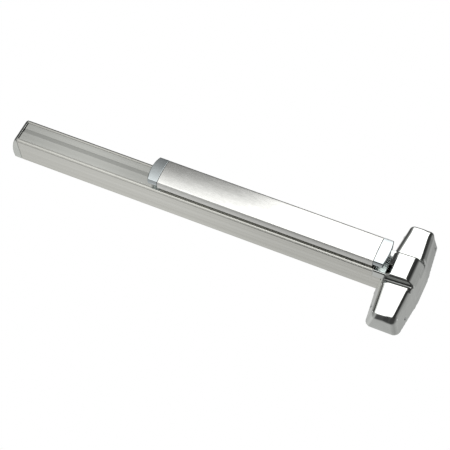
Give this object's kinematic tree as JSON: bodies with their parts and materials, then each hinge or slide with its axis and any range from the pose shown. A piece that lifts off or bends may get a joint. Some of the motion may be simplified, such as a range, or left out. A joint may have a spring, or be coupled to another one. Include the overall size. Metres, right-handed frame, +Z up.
{
  "type": "panic exit bar",
  "caption": "Push-bar exit device: a crowned touch bar in a long aluminium channel case, with cranks and a control rod working a lift finger under a bright tapered head cover.",
  "frame": {"origin": "on the door face, level with the middle of the head's height and width", "axes": "+X along the bar towards the head, +Y into the door (the push direction), +Z up"},
  "size_m": [0.8764, 0.094, 0.228],
  "materials": {
    "bar_cap_screw_left_finish": "turned steel",
    "bar_cap_screw_right_finish": "turned steel",
    "bar_end_block_left_finish": "zinc-plated sheet or casting",
    "bar_end_block_right_finish": "zinc-plated sheet or casting",
    "base_plate_screw_1_finish": "turned steel",
    "base_plate_screw_2_finish": "turned steel",
    "base_plate_screw_3_finish": "turned steel",
    "base_plate_screw_4_finish": "turned steel",
    "bell_crank_left_finish": "zinc-plated sheet or casting",
    "bell_crank_right_finish": "zinc-plated sheet or casting",
    "case_cover_plate_finish": "brushed lengthwise, clear anodised",
    "control_rod_finish": "turned steel",
    "crank_bracket_left_finish": "zinc-plated sheet or casting",
    "crank_bracket_right_finish": "zinc-plated sheet or casting",
    "crank_link_pin_left_finish": "turned steel",
    "crank_link_pin_right_finish": "turned steel",
    "crank_pivot_pin_left_finish": "turned steel",
    "crank_pivot_pin_right_finish": "turned steel",
    "crank_rod_pin_left_finish": "turned steel",
    "crank_rod_pin_right_finish": "turned steel",
    "crank_spring_left_finish": "spring wire",
    "crank_spring_right_finish": "spring wire",
    "damper_cylinder_finish": "black",
    "damper_plunger_finish": "turned steel",
    "end_cap_finish": "satin cast cap",
    "end_cap_bracket_finish": "zinc-plated sheet or casting",
    "end_cap_screw_lower_finish": "turned steel",
    "end_cap_screw_upper_finish": "turned steel",
    "finger_guide_lower_finish": "zinc-plated sheet or casting",
    "finger_guide_upper_finish": "zinc-plated sheet or casting",
    "finger_spring_finish": "spring wire",
    "head_base_plate_finish": "zinc-plated sheet or casting",
    "head_cover_finish": "bright plated",
    "head_cover_screw_lower_left_finish": "turned steel",
    "head_cover_screw_lower_right_finish": "turned steel",
    "head_cover_screw_upper_left_finish": "turned steel",
    "head_cover_screw_upper_right_finish": "turned steel",
    "head_joint_strap_finish": "zinc-plated sheet or casting",
    "lever_finger_pin_finish": "turned steel",
    "lever_rod_pin_finish": "turned steel",
    "lift_finger_finish": "turned steel",
    "lift_lever_finish": "zinc-plated sheet or casting",
    "lift_lever_stud_finish": "turned steel",
    "mechanism_base_plate_finish": "zinc-plated sheet or casting",
    "mechanism_case_finish": "brushed lengthwise, clear anodised",
    "push_bar_cover_finish": "satin grain along the bar",
    "push_bar_end_cap_left_finish": "satin cast cap",
    "push_bar_end_cap_right_finish": "satin cast cap",
    "push_bar_lug_left_finish": "zinc-plated sheet or casting",
    "push_bar_lug_right_finish": "zinc-plated sheet or casting",
    "push_bar_rail_finish": "black",
    "push_stop_left_finish": "black",
    "push_stop_right_finish": "black",
    "rod_end_clevis_finish": "zinc-plated sheet or casting",
    "rod_guide_left_finish": "zinc-plated sheet or casting",
    "rod_guide_right_finish": "zinc-plated sheet or casting",
    "strap_screw_case_finish": "turned steel",
    "strap_screw_head_finish": "turned steel"
  },
  "bodies": {
    "housing": {"base_plate_screw_1": "base_plate_screw_1_finish", "base_plate_screw_2": "base_plate_screw_2_finish", "base_plate_screw_3": "base_plate_screw_3_finish", "base_plate_screw_4": "base_plate_screw_4_finish", "case_cover_plate": "case_cover_plate_finish", "crank_bracket_left": "crank_bracket_left_finish", "crank_bracket_right": "crank_bracket_right_finish", "crank_pivot_pin_left": "crank_pivot_pin_left_finish", "crank_pivot_pin_right": "crank_pivot_pin_right_finish", "crank_spring_left": "crank_spring_left_finish", "crank_spring_right": "crank_spring_right_finish", "damper_cylinder": "damper_cylinder_finish", "end_cap": "end_cap_finish", "end_cap_bracket": "end_cap_bracket_finish", "end_cap_screw_lower": "end_cap_screw_lower_finish", "end_cap_screw_upper": "end_cap_screw_upper_finish", "finger_guide_lower": "finger_guide_lower_finish", "finger_guide_upper": "finger_guide_upper_finish", "finger_spring": "finger_spring_finish", "head_base_plate": "head_base_plate_finish", "head_cover": "head_cover_finish", "head_cover_screw_lower_left": "head_cover_screw_lower_left_finish", "head_cover_screw_lower_right": "head_cover_screw_lower_right_finish", "head_cover_screw_upper_left": "head_cover_screw_upper_left_finish", "head_cover_screw_upper_right": "head_cover_screw_upper_right_finish", "head_joint_strap": "head_joint_strap_finish", "lift_lever_stud": "lift_lever_stud_finish", "mechanism_base_plate": "mechanism_base_plate_finish", "mechanism_case": "mechanism_case_finish", "push_stop_left": "push_stop_left_finish", "push_stop_right": "push_stop_right_finish", "rod_guide_left": "rod_guide_left_finish", "rod_guide_right": "rod_guide_right_finish", "strap_screw_case": "strap_screw_case_finish", "strap_screw_head": "strap_screw_head_finish"},
    "push_bar": {"bar_cap_screw_left": "bar_cap_screw_left_finish", "bar_cap_screw_right": "bar_cap_screw_right_finish", "bar_end_block_left": "bar_end_block_left_finish", "bar_end_block_right": "bar_end_block_right_finish", "damper_plunger": "damper_plunger_finish", "push_bar_cover": "push_bar_cover_finish", "push_bar_end_cap_left": "push_bar_end_cap_left_finish", "push_bar_end_cap_right": "push_bar_end_cap_right_finish", "push_bar_lug_left": "push_bar_lug_left_finish", "push_bar_lug_right": "push_bar_lug_right_finish", "push_bar_rail": "push_bar_rail_finish"},
    "crank_left": {"bell_crank_left": "bell_crank_left_finish", "crank_link_pin_left": "crank_link_pin_left_finish", "crank_rod_pin_left": "crank_rod_pin_left_finish"},
    "crank_right": {"bell_crank_right": "bell_crank_right_finish", "crank_link_pin_right": "crank_link_pin_right_finish", "crank_rod_pin_right": "crank_rod_pin_right_finish"},
    "rod": {"control_rod": "control_rod_finish", "rod_end_clevis": "rod_end_clevis_finish"},
    "lever": {"lift_lever": "lift_lever_finish", "lever_rod_pin": "lever_rod_pin_finish", "lever_finger_pin": "lever_finger_pin_finish"},
    "finger": {"lift_finger": "lift_finger_finish"}
  },
  "joints": [
    {"name": "push_bar_slide", "type": "slide", "parent": "housing", "child": "push_bar", "axis": [0, 1, 0], "range_m": [0, 0.019], "stiffness_N_per_m": 900, "springref_m": -0.02},
    {"name": "crank_left_hinge", "type": "hinge", "parent": "housing", "child": "crank_left", "pos_m": [-0.42, -0.029, 0], "axis": [0, 0, 1], "range_deg": [-29.1, 0.1]},
    {"name": "crank_right_hinge", "type": "hinge", "parent": "housing", "child": "crank_right", "pos_m": [-0.15, -0.029, 0], "axis": [0, 0, 1], "range_deg": [-29.1, 0.1]},
    {"name": "rod_slide", "type": "slide", "parent": "housing", "child": "rod", "axis": [1, 0, 0], "range_m": [-0.0001, 0.0101]},
    {"name": "lever_hinge", "type": "hinge", "parent": "housing", "child": "lever", "pos_m": [-0.005, -0.0173, 0.025], "axis": [0, 1, 0], "range_deg": [-29.1, 0.1]},
    {"name": "finger_slide", "type": "slide", "parent": "housing", "child": "finger", "axis": [0, 0, 1], "range_m": [-0.0001, 0.0101], "deforming": ["finger_spring"]}
  ],
  "couplings": [
    {"joint": "crank_left_hinge", "follows": "push_bar_slide", "rad_per_m": -26.598},
    {"joint": "crank_right_hinge", "follows": "push_bar_slide", "rad_per_m": -26.598},
    {"joint": "rod_slide", "follows": "push_bar_slide", "ratio": 0.52632},
    {"joint": "lever_hinge", "follows": "push_bar_slide", "rad_per_m": -26.598},
    {"joint": "finger_slide", "follows": "push_bar_slide", "ratio": 0.52632}
  ]
}
